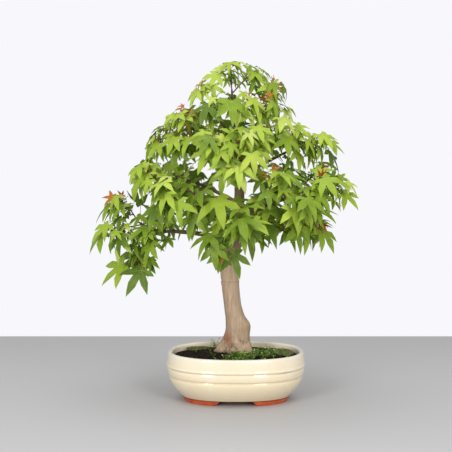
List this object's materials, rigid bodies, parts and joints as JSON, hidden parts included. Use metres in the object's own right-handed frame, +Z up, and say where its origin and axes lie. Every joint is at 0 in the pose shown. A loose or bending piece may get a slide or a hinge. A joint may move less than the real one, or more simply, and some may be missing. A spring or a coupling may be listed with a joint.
{
  "type": "bonsai tree in a pot",
  "caption": "Small broad-leaved bonsai maple with a straight flared trunk and a rounded crown of drooping lobed leaves, planted in a shallow oval glazed pot on clay feet.",
  "frame": {"origin": "centre of the whole object's outline on the surface that the feet stand on", "axes": "+Z up along the trunk, +X to the viewer's right along the pot's length, -Y towards the viewer"},
  "size_m": [0.3824, 0.3062, 0.4857],
  "materials": {
    "cream_glaze": "glossy cream glaze",
    "bare_clay": "unglazed matte clay",
    "screen_plastic": "moulded matte",
    "clip_wire": "bent wire",
    "soil": "damp crumbs",
    "moss": "soft and matte",
    "weeds": "thin leaf",
    "bark": "smooth young bark",
    "leaves": "thin leaf, slightly waxy"
  },
  "bodies": {
    "root": {"drain_screen_left": "screen_plastic", "drain_screen_right": "screen_plastic", "foot_back_left": "bare_clay", "foot_back_right": "bare_clay", "foot_front_left": "bare_clay", "foot_front_right": "bare_clay", "grass_left": "weeds", "leaf_spray_01": "leaves", "leaf_spray_02": "leaves", "leaf_spray_03": "leaves", "leaf_spray_04": "leaves", "leaf_spray_05": "leaves", "leaf_spray_06": "leaves", "leaf_spray_07": "leaves", "leaf_spray_08": "leaves", "leaf_spray_09": "leaves", "leaf_spray_10": "leaves", "leaf_spray_11": "leaves", "leaf_spray_12": "leaves", "leaf_spray_13": "leaves", "leaf_spray_14": "leaves", "leaf_spray_15": "leaves", "leaf_spray_16": "leaves", "leaf_spray_17": "leaves", "leaf_spray_18": "leaves", "leaf_spray_19": "leaves", "leaf_spray_20": "leaves", "leaf_spray_21": "leaves", "leaf_spray_22": "leaves", "leaf_spray_23": "leaves", "leaf_spray_24": "leaves", "leaf_spray_25": "leaves", "leaf_spray_26": "leaves", "leaf_spray_27": "leaves", "leaf_spray_28": "leaves", "leaf_spray_29": "leaves", "leaf_spray_30": "leaves", "leaf_spray_31": "leaves", "leaf_spray_32": "leaves", "leaf_spray_33": "leaves", "leaf_spray_34": "leaves", "leaf_spray_35": "leaves", "leaf_spray_36": "leaves", "leaf_spray_37": "leaves", "leaf_spray_38": "leaves", "leaf_spray_39": "leaves", "leaf_spray_40": "leaves", "leaf_spray_41": "leaves", "leaf_spray_42": "leaves", "leaf_spray_43": "leaves", "leaf_spray_44": "leaves", "moss_left": "moss", "moss_right": "moss", "pot": "cream_glaze", "screen_clip_left": "clip_wire", "screen_clip_right": "clip_wire", "soil": "soil", "trunk": "bark", "weed_front": "weeds", "weed_right": "weeds"}
  },
  "joints": []
}
